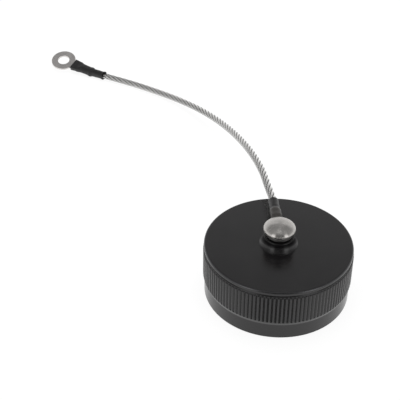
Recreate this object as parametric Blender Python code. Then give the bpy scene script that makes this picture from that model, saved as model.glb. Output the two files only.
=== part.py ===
# Screw-on dust cap for a circular connector, with its wire rope lanyard.
# Metres, +Z up. The cap's axis is the Z axis, and its open rim stands on z = 0.
import math

import bmesh
import bpy
from mathutils import Matrix, Vector

# Clearances
SEAT_GAP = 0.0003
SLEEVE_GAP = 0.0002

# Cap body, outside. The knurl's tips are the widest, and the rest steps in from them.
CAP_HEIGHT = 0.0194
RIB_TIP_RADIUS = 0.02475
SKIRT_STEP = 0.00051
SKIRT_RADIUS = RIB_TIP_RADIUS - SKIRT_STEP
RIM_CHAMFER = 0.00015
BAND_BOTTOM = 0.0060
BAND_RUN_OUT = 0.0003
RIB_COUNT = 120
RIB_HEIGHT = 0.0004
RIB_FOOT_WIDTH = 0.00096
RIB_SHOULDER_WIDTH = 0.00078
RIB_TIP_WIDTH = 0.00042
RIB_LOW_SLOPE = 0.0010
RIB_HIGH_SLOPE = 0.0005
GROOVE_STEP = 0.0006
GROOVE_RADIUS = RIB_TIP_RADIUS - GROOVE_STEP
GROOVE_WIDTH = 0.0005
GROOVE_FLARE = 0.0002
LIP_STEP = 0.0002
LIP_RADIUS = RIB_TIP_RADIUS - LIP_STEP
LIP_WIDTH = 0.0003
EDGE_WIDTH = 0.0006
EDGE_HEIGHT = 0.00065

# Boss that the rivet goes through, on the cap's top face
BOSS_HEIGHT = 0.0034
BOSS_FOOT_RADIUS = 0.0063
BOSS_TOP_RADIUS = 0.0051
BOSS_FOOT_STEP = 0.0003
BOSS_EDGE = 0.00015

# Cap body, inside. Each bore leaves its wall under the knurl's tips.
END_WALL = 0.0025
SEAL_WALL = 0.00535
SEAL_BORE_RADIUS = RIB_TIP_RADIUS - SEAL_WALL
SEAL_BORE_DEPTH = 0.0041
RELIEF_WALL = 0.00365
RELIEF_RADIUS = RIB_TIP_RADIUS - RELIEF_WALL
RELIEF_WIDTH = 0.0019
RELIEF_SLOPE = 0.0005
THREAD_WALL = 0.0048
THREAD_BORE_RADIUS = RIB_TIP_RADIUS - THREAD_WALL
MOUTH_WALL = 0.00325
MOUTH_RADIUS = RIB_TIP_RADIUS - MOUTH_WALL
MOUTH_CHAMFER = 0.0016
MOUTH_STEP = 0.00035

# Gasket against the end wall
GASKET_WIDTH = 0.0035
GASKET_THICKNESS = 0.0016
GASKET_EDGE = 0.00025

# Shoulder rivet and the washer under its set tail
SHANK_RADIUS = 0.0016
SHOULDER_RADIUS = 0.0025
HEAD_RADIUS = 0.00533
HEAD_UNDERCUT = 0.0005
HEAD_RIM = 0.0006
DOME_RISE = 0.0024
DOME_SQUARENESS = 2.15
TAIL_RADIUS = 0.0029
TAIL_HEIGHT = 0.0013
TAIL_EDGE = 0.0005
WASHER_RADIUS = 0.0046
WASHER_THICKNESS = 0.0008

# Terminal on the rivet, with its sleeve. Places along it are measured from the rivet's axis.
NEAR_HEADING = 93.6
NEAR_EYE_RADIUS = 0.00435
NEAR_EYE_THICKNESS = 0.0013
NEAR_TONGUE_WIDTH = 0.0025
NEAR_TONGUE_END = 0.0070
NEAR_BARREL_START = 0.0082
NEAR_BARREL_END = 0.0107
NEAR_BARREL_WIDTH = 0.0025
NEAR_BARREL_HEIGHT = 0.0025
NEAR_SLEEVE_START = 0.0059
NEAR_SLEEVE_TAIL = 0.0062

# Free terminal, with its sleeve. Places along it are measured from the centre of its eye.
FAR_MOUTH = (-0.06913, 0.13848, 0.00185)
FAR_HEADING = 151.4
FAR_RISE = 6.9
FAR_ROLL = 16.0
FAR_EYE_RADIUS = 0.00545
FAR_HOLE_RADIUS = 0.0026
FAR_EYE_THICKNESS = 0.0009
FAR_TONGUE_WIDTH = 0.0033
FAR_TONGUE_END = 0.0080
FAR_BARREL_START = 0.0105
FAR_BARREL_END = 0.0151
FAR_BARREL_WIDTH = 0.0029
FAR_BARREL_HEIGHT = 0.0021
FAR_SLEEVE_START = 0.0055
FAR_SLEEVE_TAIL = 0.0066

# Both sleeves
SLEEVE_WALL = 0.0005
SLEEVE_TAIL_WALL = 0.00036
SLEEVE_STEP = 0.0012

# Wire rope, and the points its centreline passes on the way from mouth to mouth
ROPE_RADIUS = 0.00119
ROPE_ROUTE = [
    (-0.00245, 0.02634, 0.02320),
    (-0.00365, 0.03548, 0.02226),
    (-0.00518, 0.04390, 0.02099),
    (-0.00716, 0.05290, 0.01922),
    (-0.00915, 0.06105, 0.01722),
    (-0.01144, 0.06965, 0.01482),
    (-0.01377, 0.07749, 0.01250),
    (-0.01665, 0.08595, 0.00998),
    (-0.01983, 0.09375, 0.00775),
    (-0.02400, 0.10185, 0.00568),
    (-0.02886, 0.10911, 0.00412),
    (-0.03481, 0.11605, 0.00288),
    (-0.04144, 0.12222, 0.00202),
    (-0.04826, 0.12739, 0.00154),
    (-0.05608, 0.13222, 0.00146),
]
ROPE_STEPS = 3

# Facets
BODY_COLUMNS = RIB_COUNT
BORE_COLUMNS = RIB_COUNT // 2
RIVET_COLUMNS = 40
EYE_COLUMNS = 40
SLEEVE_COLUMNS = 20
SMOOTH_ANGLE = 32.0

# Heights that follow from the sizes above
END_FACE = CAP_HEIGHT - END_WALL
BOSS_TOP = CAP_HEIGHT + BOSS_HEIGHT
HOLE_RADIUS = SHANK_RADIUS + SEAT_GAP
EYE_BOTTOM = BOSS_TOP + SEAT_GAP
EYE_MIDDLE = EYE_BOTTOM + NEAR_EYE_THICKNESS / 2
HEAD_BOTTOM = EYE_BOTTOM + NEAR_EYE_THICKNESS + SEAT_GAP
WASHER_TOP = END_FACE - SEAT_GAP
TAIL_TOP = WASHER_TOP - WASHER_THICKNESS - SEAT_GAP


def clear_scene():
    for item in list(bpy.data.objects):
        bpy.data.objects.remove(item, do_unlink=True)


def make_material(name, colour, roughness, metallic):
    material = bpy.data.materials.new(name)
    material.use_nodes = True
    surface = material.node_tree.nodes["Principled BSDF"]
    surface.inputs["Base Color"].default_value = (*colour, 1.0)
    surface.inputs["Roughness"].default_value = roughness
    surface.inputs["Metallic"].default_value = metallic
    return material


def finish_object(name, shape, material):
    """Turn a bmesh into a named object, shaded smooth between its sharp edges."""
    mesh = bpy.data.meshes.new(name)
    shape.to_mesh(mesh)
    shape.free()
    mesh.materials.append(material)
    mesh.shade_smooth()
    mesh.set_sharp_from_angle(angle=math.radians(SMOOTH_ANGLE))
    piece = bpy.data.objects.new(name, mesh)
    bpy.context.collection.objects.link(piece)
    return piece


def make_ring(shape, radius, height, angles):
    """A ring of corners about the Z axis, in order of angle."""
    ring = []
    for angle in angles:
        corner = (radius * math.cos(angle), radius * math.sin(angle), height)
        ring.append((angle, shape.verts.new(corner)))
    return ring


def even_angles(count):
    return [2 * math.pi * index / count for index in range(count)]


def join_rings(shape, first, second):
    """Skin the band between two rings, which may have different numbers of corners."""
    turn = 2 * math.pi
    lower = first + [(first[0][0] + turn, first[0][1])]
    upper = second + [(second[0][0] + turn, second[0][1])]
    i = 0
    j = 0
    while i < len(first) or j < len(second):
        next_lower = lower[i + 1][0] if i < len(first) else math.inf
        next_upper = upper[j + 1][0] if j < len(second) else math.inf
        if abs(next_lower - next_upper) < 1e-6:
            shape.faces.new((lower[i][1], lower[i + 1][1], upper[j + 1][1], upper[j][1]))
            i += 1
            j += 1
        elif next_lower < next_upper:
            shape.faces.new((lower[i][1], lower[i + 1][1], upper[j][1]))
            i += 1
        else:
            shape.faces.new((lower[i][1], upper[j + 1][1], upper[j][1]))
            j += 1


def turned(name, outline, columns, material):
    """A solid of revolution. The outline is (radius, height) corners, in order round the section."""
    shape = bmesh.new()
    angles = even_angles(columns)
    rings = []
    for radius, height in outline:
        if radius > 0:
            rings.append(make_ring(shape, radius, height, angles))
        else:
            pole = shape.verts.new((0, 0, height))
            rings.append([(angle, pole) for angle in angles])
    for index, ring in enumerate(rings):
        following = rings[(index + 1) % len(rings)]
        if outline[index][0] == 0 and outline[(index + 1) % len(rings)][0] == 0:
            continue
        for step in range(columns):
            after = (step + 1) % columns
            corners = [ring[step][1], ring[after][1], following[after][1], following[step][1]]
            shape.faces.new(list(dict.fromkeys(corners)))
    return finish_object(name, shape, material)


def boss_outline():
    """The boss's flank from its foot to its top, hollowed like a turned fillet."""
    foot = CAP_HEIGHT + BOSS_FOOT_STEP
    rise = BOSS_HEIGHT - BOSS_FOOT_STEP - BOSS_EDGE
    reach = BOSS_FOOT_RADIUS - BOSS_TOP_RADIUS
    points = [(BOSS_FOOT_RADIUS, CAP_HEIGHT)]
    for share in (0.0, 0.12, 0.28, 0.5, 0.75, 1.0):
        points.append((BOSS_TOP_RADIUS + reach * (1 - share) ** 2.2, foot + rise * share))
    points.append((BOSS_TOP_RADIUS - BOSS_EDGE, BOSS_TOP))
    return points


def add_knurl(shape, low_ring, high_ring):
    """Straight ribs with rounded tips and sloping ends, between two rings of rib feet."""
    foot_radius = RIB_TIP_RADIUS - RIB_HEIGHT
    levels = [
        (0.62, RIB_SHOULDER_WIDTH, 0.45),
        (1.0, RIB_TIP_WIDTH, 1.0),
    ]
    bottom = low_ring[0][1].co.z
    top = high_ring[0][1].co.z
    for rib in range(RIB_COUNT):
        centre = 2 * math.pi * rib / RIB_COUNT
        left = 2 * rib
        right = 2 * rib + 1
        feet = [low_ring[left][1], low_ring[right][1], high_ring[right][1], high_ring[left][1]]
        for height, width, slope in levels:
            radius = foot_radius + RIB_HEIGHT * height
            half = width / (2 * radius)
            low = bottom + RIB_LOW_SLOPE * slope
            high = top - RIB_HIGH_SLOPE * slope
            corners = []
            for angle, z in ((-half, low), (half, low), (half, high), (-half, high)):
                place = (radius * math.cos(centre + angle), radius * math.sin(centre + angle), z)
                corners.append(shape.verts.new(place))
            for side in range(4):
                after = (side + 1) % 4
                shape.faces.new((feet[side], feet[after], corners[after], corners[side]))
            feet = corners
        shape.faces.new(feet)
        beyond = (right + 1) % (2 * RIB_COUNT)
        root = [low_ring[right][1], low_ring[beyond][1], high_ring[beyond][1], high_ring[right][1]]
        shape.faces.new(root)


def make_cap_body(material):
    shape = bmesh.new()
    outer = even_angles(BODY_COLUMNS)
    shift = math.pi / BODY_COLUMNS
    outer = [angle + shift for angle in outer]
    inner = [angle + shift for angle in even_angles(BORE_COLUMNS)]
    foot_radius = RIB_TIP_RADIUS - RIB_HEIGHT
    half_foot = RIB_FOOT_WIDTH / (2 * foot_radius)
    feet = []
    for centre in even_angles(RIB_COUNT):
        feet += [centre - half_foot, centre + half_foot]
    lip_top = CAP_HEIGHT - EDGE_HEIGHT
    lip_bottom = lip_top - LIP_WIDTH
    groove_top = lip_bottom - GROOVE_FLARE
    groove_bottom = groove_top - GROOVE_WIDTH
    band_top = groove_bottom - BAND_RUN_OUT

    rings = [make_ring(shape, SKIRT_RADIUS - RIM_CHAMFER, 0, outer)]
    rings.append(make_ring(shape, SKIRT_RADIUS, RIM_CHAMFER, outer))
    rings.append(make_ring(shape, SKIRT_RADIUS, BAND_BOTTOM - BAND_RUN_OUT, outer))
    rings.append(make_ring(shape, foot_radius, BAND_BOTTOM, feet))
    knurl_low = rings[-1]
    rings.append(make_ring(shape, foot_radius, band_top, feet))
    rings.append(make_ring(shape, GROOVE_RADIUS, groove_bottom, outer))
    rings.append(make_ring(shape, GROOVE_RADIUS, groove_top, outer))
    rings.append(make_ring(shape, LIP_RADIUS, lip_bottom, outer))
    rings.append(make_ring(shape, LIP_RADIUS, lip_top, outer))
    rings.append(make_ring(shape, LIP_RADIUS - EDGE_WIDTH, CAP_HEIGHT, outer))
    for radius, height in boss_outline():
        rings.append(make_ring(shape, radius, height, inner))
    relief_top = END_FACE - SEAL_BORE_DEPTH
    relief_bottom = relief_top - RELIEF_WIDTH
    bore = [
        (HOLE_RADIUS, BOSS_TOP),
        (HOLE_RADIUS, END_FACE),
        (SEAL_BORE_RADIUS, END_FACE),
        (SEAL_BORE_RADIUS, relief_top),
        (RELIEF_RADIUS, relief_top),
        (RELIEF_RADIUS, relief_bottom),
        (THREAD_BORE_RADIUS, relief_bottom - RELIEF_SLOPE),
        (THREAD_BORE_RADIUS, MOUTH_STEP + MOUTH_CHAMFER),
        (MOUTH_RADIUS, MOUTH_STEP),
        (MOUTH_RADIUS, 0),
    ]
    for radius, height in bore:
        rings.append(make_ring(shape, radius, height, inner))

    for index, ring in enumerate(rings):
        following = rings[(index + 1) % len(rings)]
        if ring is knurl_low:
            add_knurl(shape, ring, following)
        else:
            join_rings(shape, ring, following)
    return finish_object("cap_body", shape, material)


def make_gasket(material):
    outside = SEAL_BORE_RADIUS - SEAT_GAP
    inside = outside - GASKET_WIDTH
    top = END_FACE - SEAT_GAP
    bottom = top - GASKET_THICKNESS
    outline = [
        (outside - GASKET_EDGE, bottom),
        (outside, bottom + GASKET_EDGE),
        (outside, top),
        (inside, top),
        (inside, bottom + GASKET_EDGE),
        (inside + GASKET_EDGE, bottom),
    ]
    return turned("gasket", outline, BORE_COLUMNS, material)


def make_rivet(material):
    tail_bottom = TAIL_TOP - TAIL_HEIGHT
    rim_top = HEAD_BOTTOM + HEAD_RIM
    outline = [
        (0, tail_bottom),
        (TAIL_RADIUS - TAIL_EDGE, tail_bottom),
        (TAIL_RADIUS, tail_bottom + TAIL_EDGE),
        (TAIL_RADIUS, TAIL_TOP),
        (SHANK_RADIUS, TAIL_TOP),
        (SHANK_RADIUS, EYE_BOTTOM),
        (SHOULDER_RADIUS, EYE_BOTTOM),
        (SHOULDER_RADIUS, HEAD_BOTTOM),
        (HEAD_RADIUS - HEAD_UNDERCUT, HEAD_BOTTOM),
        (HEAD_RADIUS, rim_top),
    ]
    steps = 10
    for step in range(1, steps):
        angle = math.pi / 2 * step / steps
        radius = HEAD_RADIUS * math.cos(angle) ** (2 / DOME_SQUARENESS)
        height = DOME_RISE * math.sin(angle) ** (2 / DOME_SQUARENESS)
        outline.append((radius, rim_top + height))
    outline.append((0, rim_top + DOME_RISE))
    return turned("rivet", outline, RIVET_COLUMNS, material)


def make_washer(material):
    bottom = WASHER_TOP - WASHER_THICKNESS
    outline = [
        (HOLE_RADIUS, bottom),
        (WASHER_RADIUS, bottom),
        (WASHER_RADIUS, WASHER_TOP),
        (HOLE_RADIUS, WASHER_TOP),
    ]
    return turned("inner_washer", outline, RIVET_COLUMNS, material)


def oval(half_width, half_height, squareness, columns):
    """Corners of a rounded section: squareness 2 is an ellipse, and more is boxier."""
    corners = []
    for angle in even_angles(columns):
        c = math.cos(angle + math.pi / columns)
        s = math.sin(angle + math.pi / columns)
        across = half_width * math.copysign(abs(c) ** (2 / squareness), c)
        up = half_height * math.copysign(abs(s) ** (2 / squareness), s)
        corners.append((across, up))
    return corners


def sweep(shape, stations, columns):
    """Rings of corners along X. A station is (centre, half width, half height, squareness)."""
    rings = []
    for centre, half_width, half_height, squareness in stations:
        ring = []
        for across, up in oval(half_width, half_height, squareness, columns):
            ring.append(shape.verts.new(Vector(centre) + Vector((0, across, up))))
        rings.append(ring)
    return rings


def skin_loops(shape, rings):
    for first, second in zip(rings, rings[1:]):
        for index in range(len(first)):
            after = (index + 1) % len(first)
            shape.faces.new((first[index], second[index], second[after], first[after]))


def terminal_sections(tongue_width, thickness, tongue_end, barrel_start, barrel_end, width, height):
    """The tongue and crimped barrel as (place along, half width, half height, squareness)."""
    tongue = (tongue_width / 2, thickness / 2)
    barrel = (width / 2, height / 2)
    return [
        (tongue_end, *tongue, 4.0),
        (barrel_start, (tongue[0] + barrel[0]) / 2, (tongue[1] + 2 * barrel[1]) / 3, 2.6),
        (barrel_end, *barrel, 2.2),
    ]


def make_terminal(name, hole_radius, eye_radius, thickness, sections, material):
    """A flat eye at the origin, with its tongue and barrel along +X, as one solid."""
    edge = thickness * 0.12
    half = thickness / 2
    outline = [
        (hole_radius + edge, -half),
        (eye_radius - edge, -half),
        (eye_radius, -half + edge),
        (eye_radius, half - edge),
        (eye_radius - edge, half),
        (hole_radius + edge, half),
        (hole_radius, half - edge),
        (hole_radius, -half + edge),
    ]
    eye = turned(name, outline, EYE_COLUMNS, material)
    shape = bmesh.new()
    tongue_end, half_width, _, squareness = sections[0]
    root = (hole_radius + eye_radius) / 2
    flush = half - SEAT_GAP * 0.2
    stations = [((root, 0, 0), half_width * 1.12, flush, squareness)]
    stations.append(((eye_radius + half_width * 0.5, 0, 0), half_width, flush, squareness))
    for along, wide, high, square in sections:
        stations.append(((along, 0, 0), wide, min(high, flush) if along == tongue_end else high, square))
    rings = sweep(shape, stations, SLEEVE_COLUMNS)
    skin_loops(shape, rings)
    shape.faces.new(rings[0])
    shape.faces.new(rings[-1][::-1])
    bmesh.ops.recalc_face_normals(shape, faces=shape.faces)
    tongue = finish_object(name + "_tongue", shape, material)
    tongue.hide_render = True
    tongue.display_type = "WIRE"
    union = eye.modifiers.new("tongue", "BOOLEAN")
    union.operation = "UNION"
    union.solver = "EXACT"
    union.object = tongue
    return eye, tongue


def make_sleeve(name, sections, start, mouth, material):
    """Heat-shrunk tube over a terminal's tongue and barrel and the first of the rope.

    It follows the sections it covers, steps down past the barrel and ends at the mouth.
    """
    first = sections[0]
    barrel_end = sections[-1][0]
    covered = [(start, *first[1:])]
    covered += list(sections)
    spots = []
    for along, half_width, half_height, squareness in covered:
        spots.append((Vector((along, 0, 0)), half_width, half_height, squareness, SLEEVE_WALL))
    bend = Vector((barrel_end + SEAT_GAP, 0, 0))
    tail = Vector(mouth) - bend
    last = sections[-1]
    spots.append((bend, *last[1:], SLEEVE_WALL))
    step = min(SLEEVE_STEP / tail.length, 0.5)
    for share in (step, 1.0):
        spots.append((bend + tail * share, ROPE_RADIUS, ROPE_RADIUS, 2.0, SLEEVE_TAIL_WALL))
    inside = []
    outside = []
    for centre, half_width, half_height, squareness, wall in spots:
        inner = (half_width + SLEEVE_GAP, half_height + SLEEVE_GAP)
        inside.append((centre, *inner, squareness))
        outside.append((centre, inner[0] + wall, inner[1] + wall, max(2.0, squareness * 0.75)))
    shape = bmesh.new()
    outer = sweep(shape, outside, SLEEVE_COLUMNS)
    inner = sweep(shape, inside, SLEEVE_COLUMNS)
    skin_loops(shape, outer + inner[::-1] + outer[:1])
    bmesh.ops.recalc_face_normals(shape, faces=shape.faces)
    return finish_object(name, shape, material)


def smooth_route(points, steps):
    """Points read from a smooth curve through the given ones."""
    points = [Vector(point) for point in points]
    padded = [points[0] * 2 - points[1]] + points + [points[-1] * 2 - points[-2]]
    route = []
    for index in range(1, len(padded) - 2):
        before, start, end, after = padded[index - 1:index + 3]
        for step in range(steps):
            t = step / steps
            bend = (2 * before - 5 * start + 4 * end - after) * t ** 2
            twist = (3 * start - before - 3 * end + after) * t ** 3
            route.append((2 * start + (end - before) * t + bend + twist) / 2)
    route.append(points[-1])
    return route


def make_rope(name, points, material):
    curve = bpy.data.curves.new(name, "CURVE")
    curve.dimensions = "3D"
    curve.bevel_depth = ROPE_RADIUS
    curve.bevel_resolution = 2
    curve.use_fill_caps = True
    spline = curve.splines.new("POLY")
    spline.points.add(len(points) - 1)
    for corner, place in zip(spline.points, points):
        corner.co = (*place, 1.0)
    curve.materials.append(material)
    rope = bpy.data.objects.new(name, curve)
    bpy.context.collection.objects.link(rope)
    return rope


def make_swivel():
    """An empty on the rivet's axis that carries the whole lanyard."""
    swivel = bpy.data.objects.new("lanyard_swivel", None)
    swivel.location = (0, 0, EYE_MIDDLE)
    bpy.context.collection.objects.link(swivel)
    return swivel


def hang_on(swivel, piece, place):
    """Parent a piece to the swivel, with its own origin at the given place in the world."""
    piece.parent = swivel
    piece.matrix_parent_inverse = Matrix.Translation(-swivel.location)
    piece.matrix_basis = place


def make_lanyard(swivel, dark_metal, bright_metal, shrink, wire):
    near_place = Matrix.Translation((0, 0, EYE_MIDDLE))
    near_place = near_place @ Matrix.Rotation(math.radians(NEAR_HEADING), 4, "Z")
    near_sections = terminal_sections(
        NEAR_TONGUE_WIDTH, NEAR_EYE_THICKNESS, NEAR_TONGUE_END,
        NEAR_BARREL_START, NEAR_BARREL_END, NEAR_BARREL_WIDTH, NEAR_BARREL_HEIGHT)
    near_terminal, near_tongue = make_terminal(
        "near_ring_terminal", SHOULDER_RADIUS + SEAT_GAP, NEAR_EYE_RADIUS, NEAR_EYE_THICKNESS,
        near_sections, dark_metal)
    near_mouth = Vector((NEAR_BARREL_END + NEAR_SLEEVE_TAIL, 0, 0))
    near_sleeve = make_sleeve("near_sleeve", near_sections, NEAR_SLEEVE_START, near_mouth, shrink)

    heading = math.radians(FAR_HEADING)
    mouth = Vector(FAR_MOUTH)
    bend = mouth + Vector((math.cos(heading), math.sin(heading), 0)) * FAR_SLEEVE_TAIL
    turn = Matrix.Rotation(heading + math.pi, 4, "Z")
    turn = turn @ Matrix.Rotation(math.radians(FAR_RISE), 4, "Y")
    turn = turn @ Matrix.Rotation(math.radians(FAR_ROLL), 4, "X")
    eye_centre = bend - turn @ Vector((FAR_BARREL_END + SEAT_GAP, 0, 0))
    far_place = Matrix.Translation(eye_centre) @ turn
    far_sections = terminal_sections(
        FAR_TONGUE_WIDTH, FAR_EYE_THICKNESS, FAR_TONGUE_END,
        FAR_BARREL_START, FAR_BARREL_END, FAR_BARREL_WIDTH, FAR_BARREL_HEIGHT)
    far_terminal, far_tongue = make_terminal(
        "far_ring_terminal", FAR_HOLE_RADIUS, FAR_EYE_RADIUS, FAR_EYE_THICKNESS,
        far_sections, bright_metal)
    far_mouth = far_place.inverted() @ mouth
    far_sleeve = make_sleeve("far_sleeve", far_sections, FAR_SLEEVE_START, far_mouth, shrink)

    rope_start = near_place @ Vector((NEAR_BARREL_END + SEAT_GAP, 0, 0))
    route = [rope_start, near_place @ near_mouth, *ROPE_ROUTE, mouth, bend]
    rope = make_rope("wire_rope", smooth_route(route, ROPE_STEPS), wire)

    for piece in (near_terminal, near_tongue, near_sleeve):
        hang_on(swivel, piece, near_place)
    for piece in (far_terminal, far_tongue, far_sleeve):
        hang_on(swivel, piece, far_place)
    hang_on(swivel, rope, Matrix.Identity(4))


def build():
    clear_scene()
    anodised = make_material("black_anodised", (0.009, 0.008, 0.009), 0.42, 0.3)
    steel = make_material("satin_stainless", (0.56, 0.54, 0.52), 0.32, 1.0)
    silicone = make_material("grey_silicone", (0.08, 0.08, 0.085), 0.75, 0.0)
    dark_metal = make_material("darkened_terminal", (0.42, 0.41, 0.40), 0.42, 1.0)
    bright_metal = make_material("plated_terminal", (0.73, 0.705, 0.69), 0.4, 1.0)
    shrink = make_material("black_shrink_tube", (0.018, 0.018, 0.019), 0.5, 0.0)
    wire = make_material("stainless_wire", (0.62, 0.62, 0.61), 0.3, 1.0)
    make_cap_body(anodised)
    make_gasket(silicone)
    make_rivet(steel)
    make_washer(steel)
    make_lanyard(make_swivel(), dark_metal, bright_metal, shrink, wire)


build()
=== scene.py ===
import math

import bmesh
import bpy
from mathutils import Matrix, Vector, noise


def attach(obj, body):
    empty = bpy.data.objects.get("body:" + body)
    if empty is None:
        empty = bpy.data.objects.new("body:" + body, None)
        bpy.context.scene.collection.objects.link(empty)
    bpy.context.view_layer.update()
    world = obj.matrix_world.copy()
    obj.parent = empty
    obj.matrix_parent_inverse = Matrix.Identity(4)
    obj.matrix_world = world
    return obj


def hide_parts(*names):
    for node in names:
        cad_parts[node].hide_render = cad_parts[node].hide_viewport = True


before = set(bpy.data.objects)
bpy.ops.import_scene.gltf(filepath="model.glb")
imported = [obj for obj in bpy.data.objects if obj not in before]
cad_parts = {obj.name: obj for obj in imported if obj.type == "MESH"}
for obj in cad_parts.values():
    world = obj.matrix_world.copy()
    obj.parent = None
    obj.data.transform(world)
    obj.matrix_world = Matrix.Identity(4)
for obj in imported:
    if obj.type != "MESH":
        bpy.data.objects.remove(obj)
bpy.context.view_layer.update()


# CAP BODY
# The screw-on cap itself, turned from aluminium bar in one piece: boss, flat top, lip and
# groove, rolled straight knurl, smooth skirt, and inside it the seal bore, thread relief and
# a three-start coupling thread. It is bead blasted lightly and hard anodised black.

CAP_HEIGHT = 0.0194
SKIRT_RADIUS = 0.02424
RIM_CHAMFER = 0.00015
BAND_BOTTOM = 0.0067
BAND_RUN_OUT = 0.0003
BAND_LEDGE = 0.00012
RIB_COUNT = 120
RIB_COLUMNS = 12
RIB_TIP_RADIUS = 0.02475
RIB_HEIGHT = 0.0004
RIB_CREST_WIDTH = 0.00048
RIB_FOOT_WIDTH = 0.00122
GROOVE_RADIUS = 0.02405
GROOVE_WIDTH = 0.0005
GROOVE_FLARE = 0.0002
LIP_RADIUS = 0.02455
LIP_WIDTH = 0.0003
EDGE_WIDTH = 0.0006
EDGE_HEIGHT = 0.00065
TAPER_TOP = 0.0070
TAPER_BOTTOM = 0.0056

BOSS_TOP = 0.0228
BOSS_FOOT_RADIUS = 0.0063
BOSS_TOP_RADIUS = 0.0051
BOSS_FOOT_STEP = 0.0003
BOSS_FLARE = 3.2
SHANK_HOLE_RADIUS = 0.0019

END_FACE = 0.0169
SEAL_BORE_RADIUS = 0.0194
SEAL_BORE_LOW = 0.0128
RELIEF_RADIUS = 0.0211
RELIEF_LOW = 0.0109
RELIEF_SLOPE = 0.0005
THREAD_CREST_RADIUS = 0.01995
THREAD_DEPTH = 0.0007
THREAD_PITCH = 0.00254
THREAD_STARTS = 3
THREAD_ROWS = 72
MOUTH_RADIUS = 0.0215
MOUTH_CHAMFER = 0.0016
MOUTH_STEP = 0.00035

# Columns in a plain ring and rows round the edge's bevel
PLAIN_COLUMNS = 288
BEVEL_ROWS = 9
# Half the width of the thread's groove at its mouth and at its floor, in pitches
THREAD_GROOVE_MOUTH = 0.29
THREAD_GROOVE_FLOOR = 0.19
# Where the columns of half a rib stand, in twelfths of the way from its middle to the next gap
RIB_COLUMN_PLACES = (0, 4.7, 5.2, 5.8, 10.7, 11.4, 12)
# How far below the band's top a row is, and how much of their height the ribs have there
RIB_RUN_OUT = [(0, 0.0), (0.00006, 0.3), (0.00014, 0.6), (0.00026, 0.85), (0.00042, 0.97),
               (0.0006, 1.0), (0.0035, 1.0)]
BOSS_FLANK_SHARES = (0.86, 0.72, 0.58, 0.45, 0.34, 0.24, 0.16, 0.09, 0.04)


def join(node, inputs):
    """Set a node's inputs by name, each to a constant or from another node's output."""
    for name, value in inputs.items():
        value = getattr(value, "socket", value)
        if isinstance(value, bpy.types.NodeSocket):
            node.id_data.links.new(value, node.inputs[name])
        else:
            node.inputs[name].default_value = value


def add_node(tree, kind, inputs=None, output=0, **options):
    """Add a node, set its options and then its inputs, and give one output to build on."""
    node = tree.nodes.new(kind)
    for option, value in options.items():
        setattr(node, option, value)
    join(node, inputs or {})
    return Value(node.outputs[output]) if node.outputs else None


def outputs_of(node):
    return {socket.name: Value(socket) for socket in node.outputs}


def math_method(operation, swapped=False):
    """A method of Value that adds a math node to the value's tree."""
    def add_math(self, *others):
        values = (*others, self) if swapped else (self, *others)
        inputs = dict(enumerate(values))
        return add_node(self.tree, "ShaderNodeMath", inputs, operation=operation)
    return add_math


class Value:
    """A node's output to build on. Each step of a formula with it adds a math node."""

    def __init__(self, socket):
        self.socket = socket
        self.tree = socket.id_data

    def clamped(self):
        """The same value, which its own math node keeps between 0 and 1."""
        self.socket.node.use_clamp = True
        return self

    __add__ = math_method("ADD")
    __sub__ = math_method("SUBTRACT")
    __rsub__ = math_method("SUBTRACT", swapped=True)
    __mul__ = math_method("MULTIPLY")
    __truediv__ = math_method("DIVIDE")
    __rtruediv__ = math_method("DIVIDE", swapped=True)
    __abs__ = math_method("ABSOLUTE")
    at_least = math_method("MAXIMUM")
    at_most = math_method("MINIMUM")
    equals = math_method("COMPARE")
    floor = math_method("FLOOR")
    fraction = math_method("FRACT")
    rounded = math_method("ROUND")
    sign = math_method("SIGN")
    sine = math_method("SINE")
    cosine = math_method("COSINE")


def new_tree(name, kind, inputs, outputs):
    """A node group and its inputs' values. An input is named with its default or its type."""
    tree = bpy.data.node_groups.new(name, kind)
    types = {float: "Float", int: "Int", tuple: "Color"}
    for socket, value in inputs.items():
        kind = types.get(type(value), value)
        made = tree.interface.new_socket(socket, in_out="INPUT", socket_type="NodeSocket" + kind)
        if kind != value:
            made.default_value = value
    for socket, kind in outputs.items():
        tree.interface.new_socket(socket, in_out="OUTPUT", socket_type="NodeSocket" + kind)
    return tree, outputs_of(tree.nodes.new("NodeGroupInput"))


def smooth_step(value, low, high, at_low=0.0, at_high=1.0):
    """A smooth step from one number to another, while a value goes from low to high."""
    return add_node(value.tree, "ShaderNodeMapRange", {
        "Value": value, "From Min": low, "From Max": high, "To Min": at_low, "To Max": at_high,
    }, "Result", interpolation_type="SMOOTHSTEP")


def blend(share, first, second):
    """The first number where the share is 0 and the second where it is 1."""
    inputs = {"Factor": share, "A": first, "B": second}
    return add_node(share.tree, "ShaderNodeMix", inputs, "Result", data_type="FLOAT")


def split(vector):
    """The X, Y and Z of a vector."""
    node = add_node(vector.tree, "ShaderNodeSeparateXYZ", {"Vector": vector}).socket.node
    return outputs_of(node).values()


def scaled(vector, share):
    inputs = {0: vector, "Scale": share}
    return add_node(vector.tree, "ShaderNodeVectorMath", inputs, operation="SCALE")


def length_of(vector):
    return add_node(vector.tree, "ShaderNodeVectorMath", {0: vector}, "Value", operation="LENGTH")


def keep(geometry, name, value, data_type="FLOAT"):
    """Store a value on each point, so that it stays after the point is moved."""
    return add_node(geometry.tree, "GeometryNodeStoreNamedAttribute",
                    {"Geometry": geometry, "Name": name, "Value": value},
                    data_type=data_type, domain="POINT")


def recall(tree, name, data_type="FLOAT"):
    return add_node(tree, "GeometryNodeInputNamedAttribute", {"Name": name}, "Attribute",
                    data_type=data_type)


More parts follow.
